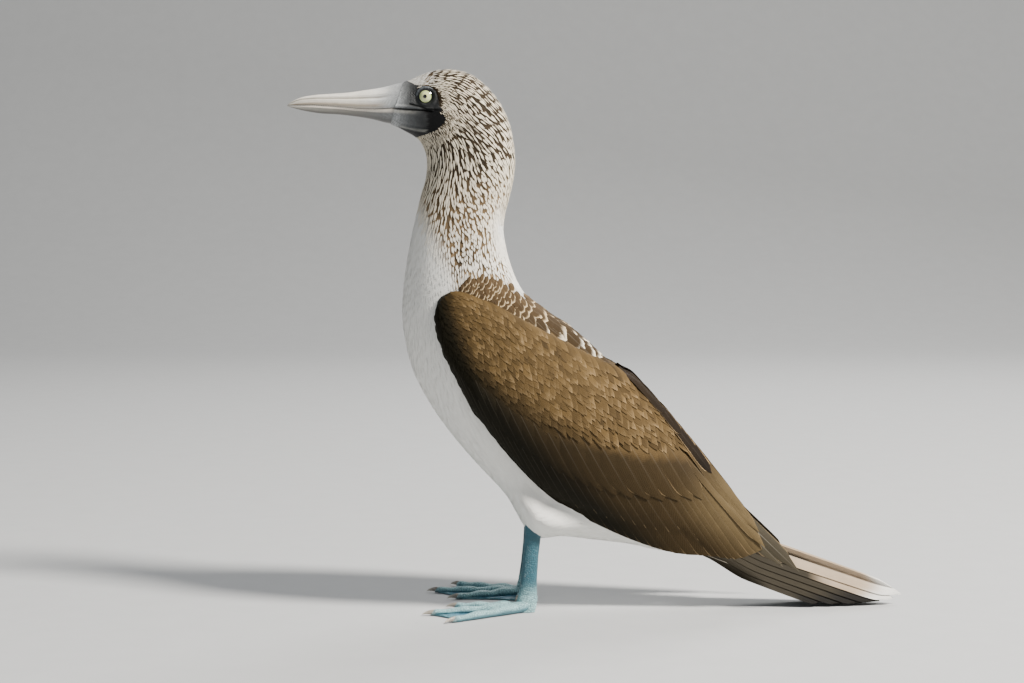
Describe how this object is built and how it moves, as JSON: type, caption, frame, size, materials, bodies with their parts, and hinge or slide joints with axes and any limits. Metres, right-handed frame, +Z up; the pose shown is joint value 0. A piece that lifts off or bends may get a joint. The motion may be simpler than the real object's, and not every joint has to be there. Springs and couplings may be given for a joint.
{
  "type": "blue-footed booby model",
  "caption": "Life-size seabird model standing upright and still, with long pointed bill, folded brown wings, wedge tail and large webbed blue feet",
  "frame": {"origin": "on the floor, below the middle of the model's bounding box", "axes": "+Z up, the bird faces -X and its left side is towards -Y; the mid-plane of its body is y = 0"},
  "size_m": [0.5573, 0.191, 0.484],
  "materials": {
    "white_feathers": "soft matte plumage over a solid body",
    "streaked_feathers": "pale plumage with fine dark brown streaks",
    "brown_feathers": "matte brown feathers with paler edges",
    "tail_feathers": "matte feathers, pale in the middle and dark outside",
    "bill": "satin grey horn with fine ridges",
    "blue_skin": "satin blue scaled skin",
    "eye": "glossy pale yellow iris with a small black pupil",
    "claw": "smooth grey horn"
  },
  "bodies": {
    "root": {"torso": "white_feathers", "neck": "streaked_feathers", "head": "streaked_feathers", "bill_upper": "bill", "bill_lower": "bill", "eye_left": "eye", "eye_right": "eye", "wing_left": "brown_feathers", "wing_right": "brown_feathers", "tail": "tail_feathers", "leg_left": "blue_skin", "leg_right": "blue_skin", "foot_left": "blue_skin", "foot_right": "blue_skin", "claw_left_outer": "claw", "claw_left_middle": "claw", "claw_left_inner": "claw", "claw_left_hind": "claw", "claw_right_outer": "claw", "claw_right_middle": "claw", "claw_right_inner": "claw", "claw_right_hind": "claw"}
  },
  "joints": []
}
